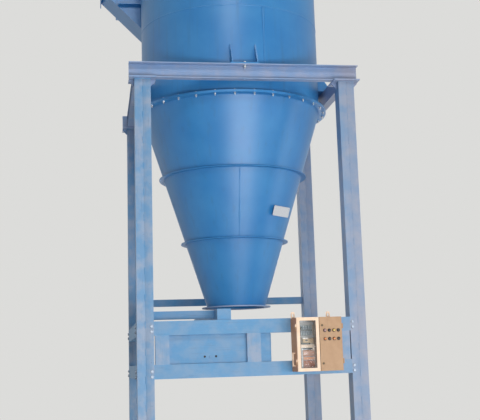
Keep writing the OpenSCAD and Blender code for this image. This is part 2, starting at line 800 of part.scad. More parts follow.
place() column_front_left();
place() column_front_right();
place() column_back_left();
place() column_back_right();
place() base_plates();
place() column_caps();
place() top_beam_front();
place() top_beam_back();
place() top_beams_side();
place() support_lugs();
place() shell_lower_course();
place() shell_upper_course();
place() shell_flange();
place() cone_flange();
place() cone_upper();
place() cone_middle();
place() cone_lower();
place() ring_upper();
place() ring_lower();
place() mouth_flange();
place() roof_plate();
place() roof_ribs();
place() lifting_lugs();
place() outlet_pipe();
place() outlet_flange();
place() inlet_duct();
place() inlet_flange();
place() front_top_rail();
place() front_bottom_rail();
place() front_end_channels();
place() front_post();
place() front_web_plates();
place() deck_rails_left();
place() deck_rails_right();
place() back_lower_rail();
place() back_tie();
place() bearer();
place() cross_bearer();
place() panel_case();
place() panel_mounting_plate();
place() panel_switchgear();
place() panel_fittings();
place() hinge_leaves();
place() door_left_frame();
place() door_left_glass();
place() door_right();
place() push_buttons();
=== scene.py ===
import math
import random

import bmesh
import bpy
from mathutils import Matrix, Vector


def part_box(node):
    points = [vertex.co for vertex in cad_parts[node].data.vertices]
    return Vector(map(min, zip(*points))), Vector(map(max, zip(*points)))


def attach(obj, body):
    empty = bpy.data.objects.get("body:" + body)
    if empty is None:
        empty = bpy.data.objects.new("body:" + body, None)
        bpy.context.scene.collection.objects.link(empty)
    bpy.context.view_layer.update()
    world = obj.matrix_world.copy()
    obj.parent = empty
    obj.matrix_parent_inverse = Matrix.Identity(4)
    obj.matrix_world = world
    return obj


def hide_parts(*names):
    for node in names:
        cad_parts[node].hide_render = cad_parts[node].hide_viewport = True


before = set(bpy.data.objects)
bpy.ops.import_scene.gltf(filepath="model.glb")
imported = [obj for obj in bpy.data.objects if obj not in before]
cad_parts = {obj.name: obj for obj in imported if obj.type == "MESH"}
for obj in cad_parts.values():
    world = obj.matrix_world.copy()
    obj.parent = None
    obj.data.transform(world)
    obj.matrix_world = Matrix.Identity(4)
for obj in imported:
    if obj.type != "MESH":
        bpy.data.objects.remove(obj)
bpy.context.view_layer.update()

scene = bpy.context.scene
print("frame loaded:", len(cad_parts), "nodes")


def nodeBox(name):
    low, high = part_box(name)
    return Vector(low), Vector(high)


# The vessel axis, from the joint flange
flangeLow, flangeHigh = nodeBox("shell_flange")
axisX = (flangeLow.x + flangeHigh.x) / 2
axisY = (flangeLow.y + flangeHigh.y) / 2


def onAxis(x, y, z):
    return Vector((axisX + x, axisY + y, z))


def paintColour(hexValue):
    # Turns an sRGB hex value to linear
    shades = [int(hexValue[i:i + 2], 16) / 255 for i in (1, 3, 5)]
    linear = [s / 12.92 if s <= 0.04045 else ((s + 0.055) / 1.055) ** 2.4 for s in shades]
    return (*linear, 1.0)


def addNode(tree, kind, settings=None, links=None):
    node = tree.nodes.new(kind)
    for key, value in (settings or {}).items():
        if isinstance(key, int) or key in node.inputs:
            node.inputs[key].default_value = value
        else:
            setattr(node, key, value)
    for key, source in (links or {}).items():
        tree.links.new(source, node.inputs[key])
    return node


def newMaterial(name):
    material = bpy.data.materials.new(name)
    material.use_nodes = True
    tree = material.node_tree
    tree.nodes.clear()
    place = addNode(tree, "ShaderNodeTexCoord").outputs["Object"]
    return material, tree, place


# Mix node sockets: 0 factor, 6 first colour, 7 second colour, output 2
def blendColours(tree, factor, under, over):
    settings, links = {"data_type": "RGBA"}, {0: factor}
    for socket, shade in ((6, under), (7, over)):
        if isinstance(shade, str):
            settings[socket] = paintColour(shade)
        else:
            links[socket] = shade
    return addNode(tree, "ShaderNodeMix", settings, links).outputs[2]


def noise(tree, place, size, detail=2.0, rough=0.5):
    settings = {"Scale": 1 / size, "Detail": detail, "Roughness": rough}
    return addNode(tree, "ShaderNodeTexNoise", settings, {"Vector": place}).outputs[0]


def remap(tree, source, start, end):
    # Takes the span start to the span end, and holds outside it
    limits = {"From Min": start[0], "From Max": start[1], "To Min": end[0], "To Max": end[1]}
    return addNode(tree, "ShaderNodeMapRange", limits, {"Value": source}).outputs[0]


def finishSurface(material, tree, colour, roughness, height, bumpDepth, settings):
    bump = addNode(tree, "ShaderNodeBump", {"Strength": 1.0, "Distance": bumpDepth}, {"Height": height})
    surface = addNode(tree, "ShaderNodeBsdfPrincipled", settings,
                      {"Normal": bump.outputs[0], "Base Color": colour, "Roughness": roughness})
    addNode(tree, "ShaderNodeOutputMaterial", {}, {"Surface": surface.outputs[0]})
    return material


dustHex = "#a9a9a4"


def enamelMaterial(name, coat):
    material, tree, place = newMaterial(name)
    # Spray passes and thin spots, a few hundred millimetres across
    patches = noise(tree, place, coat["patchSize"], 3.0, 0.55)
    # Strokes of the brush, or dirt that water has drawn down the plate
    long = addNode(tree, "ShaderNodeMapping", {"Scale": coat["stretch"]}, {"Vector": place}).outputs[0]
    streaks = noise(tree, long, coat["streakSize"], 4.0, 0.6)
    # Small knocks and spots
    specks = noise(tree, place, 0.018)
    layers = [(patches, (0.38, 0.64), 1, coat["thin"]), (streaks, (0.55, 0.8), coat["streaks"], coat["dirt"]),
              (specks, (0.72, 0.78), coat["specks"], coat["dirt"])]
    if "paintedLightHex" in coat:
        # Painted light: the side towards +X is made paler, as if more light falls on it there
        side = addNode(tree, "ShaderNodeSeparateXYZ", {}, {0: place}).outputs[0]
        layers.append((side, (0.85, 1.1), coat["fade"], coat["paintedLightHex"]))
    # Dust on what faces up
    normal = addNode(tree, "ShaderNodeNewGeometry").outputs["Normal"]
    upward = addNode(tree, "ShaderNodeSeparateXYZ", {}, {0: normal}).outputs[2]
    layers.append((upward, (0.5, 0.95), coat["dust"], dustHex))
    colour = coat["base"]
    for source, span, most, shade in layers:
        colour = blendColours(tree, remap(tree, source, span, (0, most)), colour, shade)
    shine = remap(tree, patches, (0, 1), coat["shine"])
    # Plate waves under the paint, with the paint's own orange peel on top
    waves = noise(tree, place, coat["waveSize"], 1.0)
    peel = noise(tree, place, 0.006)
    height = addNode(tree, "ShaderNodeMath", {"operation": "MULTIPLY_ADD", 1: coat["peel"]}, {0: peel, 2: waves})
    return finishSurface(material, tree, colour, shine, height.outputs[0], coat["waveDepth"],
                         {"IOR": coat.get("ior", 1.5)})


# Alkyd gloss enamel on rolled plate: clear mid blue with one wide soft highlight
vesselEnamel = enamelMaterial("vesselEnamel", {
    "base": "#297cbd", "thin": "#3786c3", "dirt": "#3d5775", "patchSize": 0.42, "streakSize": 0.05,
    "stretch": (1.0, 1.0, 0.05), "streaks": 0.26, "specks": 0.35, "dust": 0.55, "shine": (0.36, 0.44),
    "waveSize": 0.30, "waveDepth": 0.003, "peel": 0.02, "ior": 1.58})

# The same enamel brushed on rolled channel: paler with handling, with painted light that makes its +X side paler
brushedCoat = {
    "base": "#5592c1", "thin": "#739abf", "dirt": "#5b7292", "patchSize": 0.13, "streakSize": 0.012,
    "streaks": 0.45, "specks": 0.5, "dust": 0.5, "shine": (0.46, 0.60), "waveSize": 0.09, "waveDepth": 0.0009,
    "peel": 0.10, "paintedLightHex": "#9a96a3", "fade": 0.45}
# Columns take a paler base than the rails and the deck, whose darker base is painted shade against the low key
# lamp's stronger light there
brushedUpright = enamelMaterial("brushedUpright", {
    **brushedCoat, "base": "#6897c1", "thin": "#91a4be", "stretch": (1.0, 1.0, 0.06)})
brushedLevel = enamelMaterial("brushedLevel", {**brushedCoat, "stretch": (0.06, 1.0, 1.0)})
brushedAcross = enamelMaterial("brushedAcross", {**brushedCoat, "stretch": (1.0, 0.06, 1.0)})

# The top beams, the mouth flange and the column caps: the same paint made paler, painted light for their brightly
# lit faces
paleLitEnamel = enamelMaterial("paleLitEnamel", {
    **brushedCoat, "base": "#84a2cb", "thin": "#9aa8c6", "dirt": "#66789a", "stretch": (0.06, 0.06, 1.0)})

# Polyester powder coat on folded sheet: warm tan, finely textured, low gloss
powderCoat = {
    "base": "#ab8662", "thin": "#b4906e", "dirt": "#85654b", "patchSize": 0.08, "streakSize": 0.02,
    "stretch": (1.0, 1.0, 0.1), "streaks": 0.25, "specks": 0.3, "dust": 0.4, "shine": (0.42, 0.55),
    "waveSize": 0.08, "waveDepth": 0.0006, "peel": 0.25}
panelPowderCoat = enamelMaterial("panelPowderCoat", powderCoat)

# The case behind the doors: the same powder coat made more orange, painted warm light that falls on its side
warmLitCaseCoat = enamelMaterial("warmLitCaseCoat", {
    **powderCoat, "base": "#d08f62", "thin": "#d59a6f", "dirt": "#8f6040", "patchSize": 0.09, "streaks": 0.3,
    "shine": (0.44, 0.58)})

# Powder coat on the glazed door's frame: the same paint, newer and lighter
doorPowderCoat = enamelMaterial("doorPowderCoat", {
    **powderCoat, "base": "#e7c7a9", "thin": "#ecd3ba", "dirt": "#b08f6c", "patchSize": 0.10, "streaks": 0.15,
    "specks": 0.2, "dust": 0.3, "shine": (0.38, 0.5), "waveDepth": 0.0005})


def metalMaterial(name, metal):
    material, tree, place = newMaterial(name)
    cells = addNode(tree, "ShaderNodeTexVoronoi", {"Scale": 1 / metal["grain"]}, {"Vector": place})
    tone = addNode(tree, "ShaderNodeSeparateColor", {}, {0: cells.outputs["Color"]}).outputs[0]
    colour = blendColours(tree, tone, metal["dark"], metal["light"])
    shine = remap(tree, tone, (0, 1), metal["shine"])
    grit = noise(tree, place, 0.0015, 3.0)
    return finishSurface(material, tree, colour, shine, grit, metal["depth"], {"Metallic": 1.0})


# Bright zinc plate on bolts and hinges: near white with a cool tint
brightZinc = metalMaterial("brightZinc", {
    "dark": "#b9bdc2", "light": "#e4e6e8", "grain": 0.004, "shine": (0.22, 0.38), "depth": 0.0001})

# Hot-dip galvanised bolts of the rails: duller and bluer than bright plate
dullZinc = metalMaterial("dullZinc", {
    "dark": "#7f8b9a", "light": "#a4afbd", "grain": 0.005, "shine": (0.46, 0.60), "depth": 0.0002})

# Hot-dip galvanised sheet of the mounting plate: grey spangle in 12 mm crystals
spangledSheet = metalMaterial("spangledSheet", {
    "dark": "#9a9fa3", "light": "#c5c9cc", "grain": 0.012, "shine": (0.30, 0.50), "depth": 0.0001})

# Blackened zinc of the door locks: dark bronze, half dull
blackenedZinc = metalMaterial("blackenedZinc", {
    "dark": "#4a4034", "light": "#655a48", "grain": 0.003, "shine": (0.38, 0.50), "depth": 0.00005})

# Anodised aluminium of the blank plate: even silver, satin
satinAluminium = metalMaterial("satinAluminium", {
    "dark": "#c2c6cd", "light": "#d2d5da", "grain": 0.003, "shine": (0.42, 0.50), "depth": 0.00005})


def mouldedMaterial(name, plastic, base, shade, shine=None):
    material, tree, place = newMaterial(name)
    clouds = noise(tree, place, 0.03)
    gloss = remap(tree, clouds, (0, 1), shine or plastic["shine"])
    return finishSurface(material, tree, blendColours(tree, clouds, shade, base), gloss,
                         noise(tree, place, plastic["grain"]), plastic["depth"], {"IOR": plastic["ior"]})


# Each kind of plastic: size and depth of the mould's grain, range of roughness
polyamide = {"grain": 0.001, "shine": (0.40, 0.55), "depth": 0.0001, "ior": 1.53}
melamine = {"grain": 0.001, "shine": (0.35, 0.5), "depth": 0.0001, "ior": 1.55}
styrene = {"grain": 0.0015, "shine": (0.28, 0.4), "depth": 0.00008, "ior": 1.54}
polycarbonate = {"grain": 0.003, "shine": (0.2, 0.3), "depth": 0.00005, "ior": 1.58}
rubber = {"grain": 0.002, "shine": (0.7, 0.85), "depth": 0.0002, "ior": 1.5}
rigidPvc = {"grain": 0.001, "shine": (0.35, 0.5), "depth": 0.00008, "ior": 1.54}

# Polyamide breaker housings: grey blue, fine moulded grain
breakerPolyamide = mouldedMaterial("breakerPolyamide", polyamide, "#90a0ab", "#76889a")
# Melamine of the contactor: warm beige
contactorMelamine = mouldedMaterial("contactorMelamine", melamine, "#dcbf92", "#c0a075")
# Terminal blocks in pinkish polyamide
terminalPolyamide = mouldedMaterial("terminalPolyamide", polyamide, "#eea67f", "#d08a66")
# Feed-through terminals in orange polyamide
orangePolyamide = mouldedMaterial("orangePolyamide", polyamide, "#d8702a", "#97471a")
# ABS of bezels and caps: black, half gloss
blackAbs = mouldedMaterial("blackAbs", styrene, "#2b2a2c", "#201f21")
# Polycarbonate lens of an amber lamp: clear gloss
amberLens = mouldedMaterial("amberLens", polycarbonate, "#d98a4c", "#c9733a", (0.12, 0.22))
# Polycarbonate cap of a push button: dusky pink
pinkCap = mouldedMaterial("pinkCap", polycarbonate, "#a98484", "#8d6a6c")
# Polycarbonate cap of one push button: yellow
yellowCap = mouldedMaterial("yellowCap", polycarbonate, "#d5b85a", "#c4a34a")
# Neoprene of seals and hole plugs: matt black
neoprene = mouldedMaterial("neoprene", rubber, "#302f30", "#252425")
# Bridge bar over the orange terminals: apricot polyamide
apricotPolyamide = mouldedMaterial("apricotPolyamide", polyamide, "#ee9f69", "#dc8850", (0.35, 0.5))
# PVC lid of the middle trunking: cream
creamPvc = mouldedMaterial("creamPvc", rigidPvc, "#fbe8d2", "#f0d6bb", (0.30, 0.45))
# Rigid PVC of the wiring trunking: light grey
greyPvc = mouldedMaterial("greyPvc", rigidPvc, "#b9bcc0", "#a5a8ac")


def glassMaterial(name):
    material, tree, place = newMaterial(name)
    film = noise(tree, place, 0.09, 3.0)
    smear = remap(tree, film, (0, 1), (0.03, 0.14))
    veil = remap(tree, film, (0.35, 0.75), (0.04, 0.10))
    surface = addNode(tree, "ShaderNodeBsdfPrincipled", {"Base Color": paintColour("#c9d6d2"), "IOR": 1.52},
                      {"Roughness": smear, "Alpha": veil})
    addNode(tree, "ShaderNodeOutputMaterial", {}, {"Surface": surface.outputs[0]})
    return material


# Toughened float glass, 4 mm: clear with a thin film of dust
doorGlass = glassMaterial("doorGlass")
print("materials ready:", len(bpy.data.materials))


def smoothPlateGroup():
    # For the CAD nodes: joins the loose triangles and smooths all but the true edges
    group = bpy.data.node_groups.new("smoothPlate", "GeometryNodeTree")
    for way in ("INPUT", "OUTPUT"):
        group.interface.new_socket("Geometry", in_out=way, socket_type="NodeSocketGeometry")
    source = addNode(group, "NodeGroupInput")
    joined = addNode(group, "GeometryNodeMergeByDistance", {"Distance": 0.00002}, {"Geometry": source.outputs[0]})
    faces = addNode(group, "GeometryNodeSetShadeSmooth", {"domain": "FACE", "Shade Smooth": True},
                    {0: joined.outputs[0]})
    angle = addNode(group, "GeometryNodeInputMeshEdgeAngle")
    sharp = addNode(group, "FunctionNodeCompare", {"operation": "GREATER_THAN", "B": math.radians(28)},
                    {"A": angle.outputs[0]})
    edges = addNode(group, "GeometryNodeSetShadeSmooth", {"domain": "EDGE", "Shade Smooth": False},
                    {0: faces.outputs[0], "Selection": sharp.outputs[0]})
    addNode(group, "NodeGroupOutput", {}, {0: edges.outputs[0]})
    return group


nodeFinish = {
    "panel_case": warmLitCaseCoat, "door_right": panelPowderCoat, "door_left_frame": doorPowderCoat,
    "door_left_glass": doorGlass, "panel_mounting_plate": spangledSheet, "hinge_leaves": panelPowderCoat,
    # The mouth flange's rim and the column caps take the paler paint as painted light
    "mouth_flange": paleLitEnamel, "column_caps": paleLitEnamel,
}
vesselWords = ("shell", "cone", "ring", "roof", "lifting", "outlet", "inlet", "support")
groupFinish = [(vesselWords, vesselEnamel), ("top_beam", paleLitEnamel), (("deck", "bearer"), brushedAcross),
               (("column", "front_post", "front_end", "base"), brushedUpright)]


def finishOf(name):
    if name in nodeFinish:
        return nodeFinish[name]
    return next((finish for words, finish in groupFinish if name.startswith(words)), brushedLevel)


smoothPlate = smoothPlateGroup()
for name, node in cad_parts.items():
    node.data.materials.clear()
    node.data.materials.append(finishOf(name))
    modifier = node.modifiers.new("smoothPlate", "NODES")
    modifier.node_group = smoothPlate
print("CAD nodes finished")


# Small shapes that the pieces are put together from
def asData(mesh):
    bmesh.ops.remove_doubles(mesh, verts=mesh.verts, dist=0.000005)
    bmesh.ops.recalc_face_normals(mesh, faces=mesh.faces)
    data = bpy.data.meshes.new("shape")
    mesh.to_mesh(data)
    mesh.free()
    return data


def gather(parts):
    joined = bmesh.new()
    for data, place in parts:
        first = len(joined.verts)
        joined.from_mesh(data)
        joined.verts.ensure_lookup_table()
        bmesh.ops.transform(joined, matrix=place, verts=joined.verts[first:])
    return joined


def newPiece(name, parts, finish, body="frame", sharpDegrees=32):
    mesh = gather(parts)
    for face in mesh.faces:
        face.smooth = True
    for edge in mesh.edges:
        if len(edge.link_faces) == 2:
            edge.smooth = edge.calc_face_angle() < math.radians(sharpDegrees)
    data = bpy.data.meshes.new(name)
    mesh.to_mesh(data)
    mesh.free()
    data.materials.append(finish)
    piece = bpy.data.objects.new(name, data)
    scene.collection.objects.link(piece)
    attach(piece, body)
    return piece


forward = (0, -1, 0)


def facing(place, direction, turn=0.0):
    # Puts a shape's Z axis along the direction
    look = Vector(direction).to_track_quat("Z", "Y").to_matrix().to_4x4()
    return Matrix.Translation(place) @ look @ Matrix.Rotation(turn, 4, "Z")


def turned(profile, steps=24):
    # A lathe shape about Z from (radius, height) points
    mesh = bmesh.new()
    points = [mesh.verts.new((radius, 0, height)) for radius, height in profile]
    edges = [mesh.edges.new(pair) for pair in zip(points, points[1:])]
    bmesh.ops.spin(mesh, geom=points + edges, cent=(0, 0, 0), axis=(0, 0, 1), angle=2 * math.pi, steps=steps,
                   use_merge=True)
    return asData(mesh)


def washerShape(inner, outer, low, high, steps=24):
    return turned([(inner, low), (outer, low), (outer, high), (inner, high), (inner, low)], steps)


def softenEdges(mesh, edges, offset, segments=1):
    bmesh.ops.bevel(mesh, geom=edges, offset=offset, segments=segments, profile=0.5, affect="EDGES", material=-1)


def hexBlock(flats, low, high, chamfer):
    # A hexagon with its upper rim chamfered
    mesh = bmesh.new()
    radius = flats / math.sqrt(3)
    bmesh.ops.create_cone(mesh, cap_ends=True, segments=6, radius1=radius, radius2=radius, depth=high - low,
                          matrix=Matrix.Translation((0, 0, (low + high) / 2)))
    rim = [edge for edge in mesh.edges if all(vert.co.z > high - 0.00001 for vert in edge.verts)]
    softenEdges(mesh, rim, chamfer)
    return asData(mesh)


def roundedBlock(size, corner, segments=2):
    mesh = bmesh.new()
    bmesh.ops.create_cube(mesh, size=1.0)
    bmesh.ops.scale(mesh, vec=size, verts=mesh.verts)
    softenEdges(mesh, mesh.edges[:], corner, segments)
    return asData(mesh)


def thicken(mesh, thickness):
    # Gives a flat mesh in X and Z a thickness along Y
    made = bmesh.ops.extrude_face_region(mesh, geom=mesh.faces[:])["geom"]
    bmesh.ops.translate(mesh, vec=(0, thickness, 0), verts=[g for g in made if isinstance(g, bmesh.types.BMVert)])


def cutPlate(outline, thickness, corner=0.0):
    # A plate from its outline's (x, z) points
    mesh = bmesh.new()
    mesh.faces.new([mesh.verts.new((x, 0, z)) for x, z in outline])
    thicken(mesh, thickness)
    bmesh.ops.recalc_face_normals(mesh, faces=mesh.faces)
    if corner:
        softenEdges(mesh, mesh.edges[:], corner)
    return asData(mesh)


def frameStrip(low, high, width, thickness):
    # A rectangular ring between two (x, z) corners
    mesh = bmesh.new()
    corners = [(low[0], low[1]), (high[0], low[1]), (high[0], high[1]), (low[0], high[1])]
    face = mesh.faces.new([mesh.verts.new((x, 0, z)) for x, z in corners])
    face.normal_update()
    bmesh.ops.inset_region(mesh, faces=[face], thickness=width, use_boundary=True, use_even_offset=True)
    bmesh.ops.delete(mesh, geom=[face], context="FACES")
    thicken(mesh, thickness)
    return asData(mesh)


# M12 through the joint flanges, M20 through the lugs and into the floor, M16 heads at the rail ends
jointBolt = {"flats": 0.018, "head": 0.0075, "nut": 0.0105, "washer": 0.024, "washerThick": 0.0025, "shank": 0.012,
             "end": 0.010}
lugBolt = {"flats": 0.030, "head": 0.0125, "nut": 0.016, "washer": 0.037, "washerThick": 0.003, "shank": 0.020,
           "end": 0.014}
anchorNut = {"flats": 0.030, "head": 0, "nut": 0.018, "washer": 0.044, "washerThick": 0.004, "shank": 0.020,
             "end": 0.030}
railBolt = {"flats": 0.024, "head": 0.010, "nut": 0, "washer": 0.030, "washerThick": 0.003, "shank": 0.016,
            "end": 0}
threadPitch = 0.0025
hexChamfer = 0.0014


def boltShape(plan, grip):
    # Head above Z = 0, nut and threaded end below Z = -grip
    radius, thick = plan["shank"] / 2, plan["washerThick"]
    ring = washerShape(radius, plan["washer"] / 2, 0, thick)
    parts = []
    if plan["head"]:
        head = hexBlock(plan["flats"], thick, thick + plan["head"], hexChamfer)
        parts += [(data, Matrix.Identity(4)) for data in (ring, head)]
    if plan["nut"]:
        below = Matrix.Translation((0, 0, -grip)) @ Matrix.Rotation(math.pi, 4, "X")
        top = thick + plan["nut"]
        end = top + plan["end"] + 0.001
        thread = [(0, top), (radius, top)]
        for rib in range(int(plan["end"] / threadPitch)):
            thread += [(radius * 0.9, top + (rib + 0.5) * threadPitch), (radius, top + (rib + 1) * threadPitch)]
        thread = turned(thread + [(radius * 0.8, end), (0, end)], 16)
        parts += [(data, below) for data in (ring, hexBlock(plan["flats"], thick, top, hexChamfer), thread)]
    return asData(gather(parts))


hand = random.Random(11)


def bolt(shape, spot, direction=(0, 0, 1)):
    # Each hexagon stops at its own turn
    return shape, facing(spot, direction, hand.uniform(0, math.pi / 3))


def aroundAxis(radius, turn, z):
    return onAxis(radius * math.cos(turn), radius * math.sin(turn), z)


plate = {"joint": 0.012, "lugPad": 0.012, "beamFlange": 0.009, "base": 0.020}
frameHalf = 0.970  # from the vessel axis to the columns' middles
columns = [(x, y) for x in (-frameHalf, frameHalf) for y in (-frameHalf, frameHalf)]
boltPlan = {"jointCount": 32, "rimInset": 0.028, "lugOut": 0.04125, "anchorHalf": 0.110, "outer": 1.045,
            "along": 0.915, "top": (1.610, 1.656), "low": (1.217, 1.264), "tie": (1.965, 2.010)}
boltRadius = (flangeHigh.x - flangeLow.x) / 2 - boltPlan["rimInset"]
shape = boltShape(jointBolt, 2 * plate["joint"])
bolts = []
for index in range(boltPlan["jointCount"]):
    angle = math.radians(360 / boltPlan["jointCount"]) * (index + 0.5)
    bolts.append(bolt(shape, aroundAxis(boltRadius, angle, flangeHigh.z)))
newPiece("joint_bolts", bolts, brightZinc)

padTop = nodeBox("top_beam_front")[1].z + plate["lugPad"]
lugReach = frameHalf + boltPlan["lugOut"]
shape = boltShape(lugBolt, plate["lugPad"] + plate["beamFlange"])
bolts = [bolt(shape, onAxis(x * lugReach, y * lugReach, padTop)) for x, y in ((0, -1), (1, 0), (0, 1), (-1, 0))]
newPiece("lug_bolts", bolts, brightZinc)

shape = boltShape(anchorNut, 0)
anchorHalf = boltPlan["anchorHalf"]
bolts = [bolt(shape, onAxis(columnX + x, columnY + y, plate["base"]), (0, 0, -1)) for columnX, columnY in columns
         for x in (-anchorHalf, anchorHalf) for y in (-anchorHalf, anchorHalf)]
newPiece("anchor_nuts", bolts, brightZinc)

# Bolts of the rails, in pairs on the columns' outer faces
shape = boltShape(railBolt, 0)
outer, along = boltPlan["outer"], boltPlan["along"]
bolts = []
for side in (-1, 1):
    for z in boltPlan["top"] + boltPlan["low"]:
        bolts.append(bolt(shape, onAxis(side * along, -outer, z), forward))
        bolts += [bolt(shape, onAxis(side * outer, y, z), (side, 0, 0)) for y in (-along, along)]
    bolts += [bolt(shape, onAxis(side * along, outer, z), (0, 1, 0)) for z in boltPlan["low"] + boltPlan["tie"]]
newPiece("rail_bolts", bolts, dullZinc)
print("bolts placed")


beadPlan = {"sides": 8, "ringStride": 0.02, "fewest": 96, "ringSwell": (0.82, 1.2), "lineSwell": (0.86, 1.14)}


def ringBead(radius, height, width, depth):
    # A weld bead round the vessel axis, swelling a little as a hand lays it
    mesh = bmesh.new()
    steps = max(beadPlan["fewest"], int(2 * math.pi * radius / beadPlan["ringStride"]))
    start = Matrix.Translation((radius, 0, 0)) @ Matrix.Rotation(math.pi / 2, 4, "X")
    flat = Matrix.Diagonal((depth / 2, width / 2, 1, 1))
    bmesh.ops.create_circle(mesh, segments=beadPlan["sides"], radius=1.0, matrix=start @ flat)
    bmesh.ops.spin(mesh, geom=mesh.verts[:] + mesh.edges[:], cent=(0, 0, 0), axis=(0, 0, 1), angle=2 * math.pi,
                   steps=steps, use_merge=True)
    swells = [hand.uniform(*beadPlan["ringSwell"]) for step in range(steps)]
    for vert in mesh.verts:
        angle = math.atan2(vert.co.y, vert.co.x)
        centre = Vector((radius * math.cos(angle), radius * math.sin(angle), 0))
        swell = swells[round(angle / (2 * math.pi) * steps) % steps]
        vert.co = centre + (vert.co - centre) * swell
    return asData(mesh), Matrix.Translation(onAxis(0, 0, height))


def lineBead(start, end, width, stride=0.012):
    # The same, along a line
    mesh = bmesh.new()
    along = end - start
    steps = max(3, round(along.length / stride))
    sides = beadPlan["sides"]
    bmesh.ops.create_circle(mesh, cap_ends=True, segments=sides, radius=width / 2, matrix=facing(start, along))
    face = mesh.faces[:][0]
    for step in range(steps):
        face = bmesh.ops.extrude_discrete_faces(mesh, faces=[face])["faces"][0]
        bmesh.ops.translate(mesh, vec=along / steps, verts=face.verts)
        swell = hand.uniform(*beadPlan["lineSwell"])
        centre = face.calc_center_median()
        bmesh.ops.scale(mesh, vec=(swell, swell, swell), space=Matrix.Translation(-centre), verts=face.verts)
    bmesh.ops.holes_fill(mesh, edges=mesh.edges[:], sides=sides)
    return asData(mesh), Matrix.Identity(4)


vessel = {"radius": 0.920, "mouth": 0.292, "mouthTop": 1.870, "joint": 3.852, "outlet": 0.460}
coneSlope = (vessel["radius"] - vessel["mouth"]) / (vessel["joint"] - vessel["mouthTop"])
courseTop = nodeBox("shell_lower_course")[1].z
roofTop = nodeBox("roof_plate")[1].z
outletTop = nodeBox("outlet_flange")[0].z

# Fillets stand off the plate, and seams are sunk into it
weldPlan = {"off": 0.002, "sunk": 0.0042, "seam": 0.011, "fillet": 0.009, "small": 0.008, "gussetX": (0.114, 0.126),
            "gussetTop": 4.328, "padEnd": -1.036, "inletWidth": 0.410, "inletSides": (5.410, 6.107)}
off = weldPlan["off"]


def coneRadius(height):
    return vessel["mouth"] + coneSlope * (height - vessel["mouthTop"])


def levelBead(x, y, z, ex, ey, width, stride=0.012):
    return lineBead(onAxis(x, y, z), onAxis(ex, ey, z), width, stride)


def uprightBead(x, y, low, high, width):
    return lineBead(onAxis(x, y, low), onAxis(x, y, high), width)


# Radius, height, width and depth of each round weld
roundWelds = [(vessel["radius"], courseTop, 0.013, 0.006),
              (vessel["radius"] + off, vessel["joint"] + 0.013, 0.009, 0.009),
              (coneRadius(3.839) + off, 3.838, 0.009, 0.009)]
for ringName in ("ring_upper", "ring_lower"):
    low, high = (corner.z for corner in nodeBox(ringName))
    roundWelds += [(coneRadius(low) + off, low - off, 0.009, 0.009),
                   (coneRadius(high) + off, high + off, 0.009, 0.009)]
roundWelds += [(coneRadius(1.872) + off, 1.872, 0.008, 0.008),
               (vessel["radius"] - 0.001, roofTop - 0.003, 0.009, 0.008),
               (vessel["outlet"] + off, roofTop + off, 0.009, 0.009),
               (vessel["outlet"] + off, outletTop - off, 0.008, 0.008)]
beads = [ringBead(*plan) for plan in roundWelds]

# Upright seams of the rolled courses, each at its own place round the vessel: low end, high end, azimuth
seams = [(1.885, 2.500, 40), (2.530, 3.165, -92.5), (3.195, 3.830, 165),
         (3.875, courseTop - 0.01, -76.5), (courseTop + 0.01, roofTop - 0.02, -90)]
for low, high, azimuth in seams:
    turn = math.radians(azimuth)
    ends = []
    for z in (low, high):
        ends.append(aroundAxis(min(coneRadius(z), vessel["radius"]) - weldPlan["sunk"], turn, z))
    beads.append(lineBead(*ends, weldPlan["seam"]))

# Both sides of each lug gusset, up the shell and along the pad
inner, outside = weldPlan["gussetX"]
for turn in range(4):
    swing = Matrix.Rotation(turn * math.pi / 2, 4, "Z")
    for x in (-outside, -inner, inner, outside):
        back = math.sqrt(vessel["radius"] ** 2 - x * x)
        rise = [swing @ Vector((x, -back, z)) for z in (padTop + 0.004, weldPlan["gussetTop"])]
        foot = [swing @ Vector((x, y, padTop + 0.001)) for y in (-back, weldPlan["padEnd"])]
        for start, end in (rise, foot):
            beads.append(lineBead(onAxis(*start), onAxis(*end), weldPlan["small"]))

# The inlet's near wall and its flange
inletLow = nodeBox("inlet_duct")[0]
wallY = inletLow.y - axisY + 0.060
wallX = -math.sqrt(vessel["radius"] ** 2 - wallY ** 2)
beads.append(uprightBead(wallX, wallY, 4.860, 6.095, weldPlan["fillet"]))
flangeX = inletLow.x - axisX + off
for z in weldPlan["inletSides"]:
    beads.append(levelBead(flangeX, wallY, z, flangeX, wallY + weldPlan["inletWidth"], weldPlan["small"]))
for y in (wallY - 0.001, wallY + 0.413):
    beads.append(uprightBead(flangeX, y, 5.415, 6.100, weldPlan["small"]))
newPiece("vessel_welds", beads, vesselEnamel, sharpDegrees=60)

# Stitch welds where a column's two channels meet, and welds round its foot and head
columnPlan = {"stitch": 0.060, "pitch": 0.240, "first": 0.20, "last": 3.84, "seamOut": 0.0735, "half": 0.075,
              "ends": (0.022, 3.936)}
beads = []
shape = lineBead(Vector((0, 0, 0)), Vector((0, 0, columnPlan["stitch"])), weldPlan["fillet"])[0]
half = columnPlan["half"]
for x, y in columns:
    for outward in (-1, 1):
        height = columnPlan["first"]
        while height < columnPlan["last"]:
            beads.append((shape, Matrix.Translation(onAxis(x, y + outward * columnPlan["seamOut"], height))))
            height += columnPlan["pitch"]
    for z in columnPlan["ends"]:
        for dx, dy, ex, ey in ((-1, -1, 1, -1), (1, -1, 1, 1), (1, 1, -1, 1), (-1, 1, -1, -1)):
            beads.append(levelBead(x + dx * half, y + dy * half, z, x + ex * half, y + ey * half,
                                   weldPlan["fillet"], 0.02))

